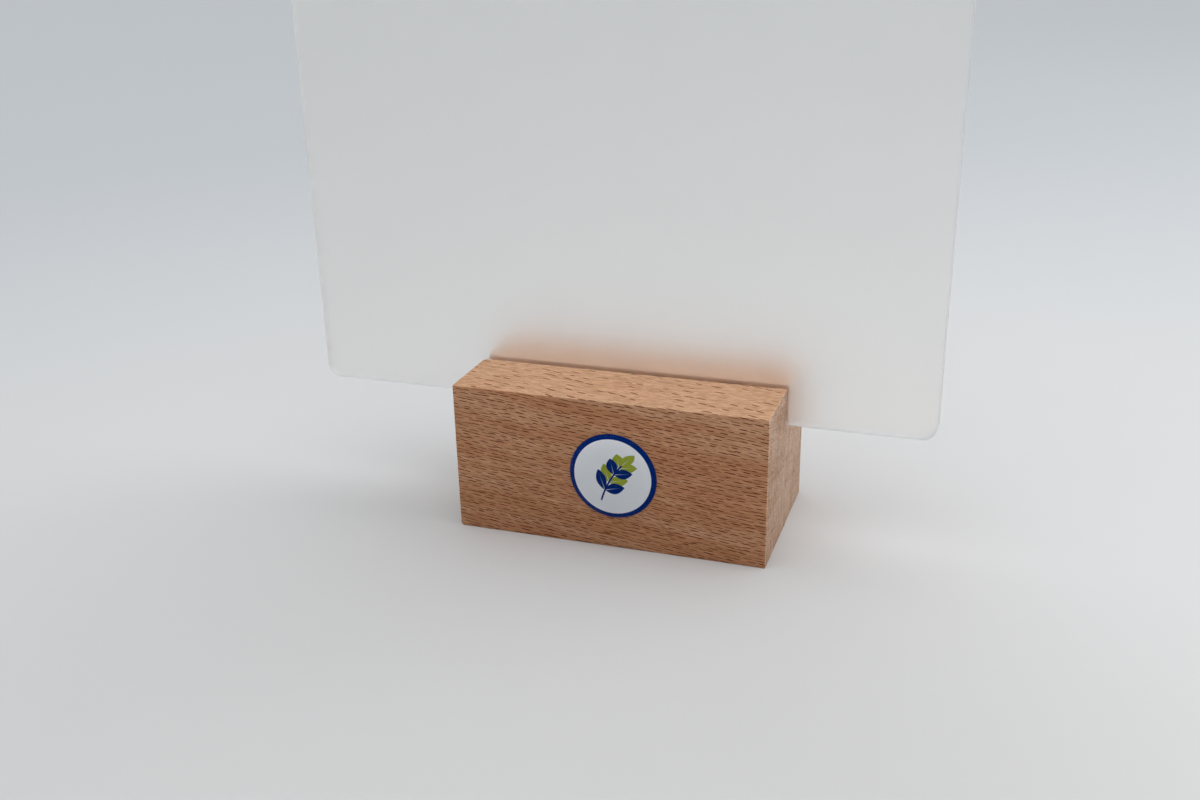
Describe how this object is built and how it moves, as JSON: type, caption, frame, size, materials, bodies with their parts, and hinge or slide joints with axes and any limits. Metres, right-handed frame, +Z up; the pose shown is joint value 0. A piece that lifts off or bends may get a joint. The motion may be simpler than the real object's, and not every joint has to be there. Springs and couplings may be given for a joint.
{
  "type": "sign holder",
  "caption": "Table sign holder: a slotted beech block holds a frosted acrylic panel upright and carries a round domed badge on its front.",
  "frame": {"origin": "middle of the block's underside, on the surface that the holder stands on", "axes": "+Z up along the panel, +X along the slot, -Y towards the badge and the viewer"},
  "size_m": [0.21, 0.059, 0.3346],
  "materials": {
    "beech": "planed and lightly sanded, unvarnished, with dark ray flecks",
    "frosted_acrylic": "translucent, frosted, with polished edges",
    "printed_vinyl": null,
    "clear_resin": "clear, poured, glossy"
  },
  "bodies": {
    "base": {"base_block": "beech", "badge_print": "printed_vinyl", "badge_dome": "clear_resin"},
    "panel": {"sign_panel": "frosted_acrylic"}
  },
  "joints": [
    {"name": "panel_lift", "type": "slide", "parent": "base", "child": "panel", "axis": [0, 0, 1], "range_m": [0, 0.0145]}
  ]
}
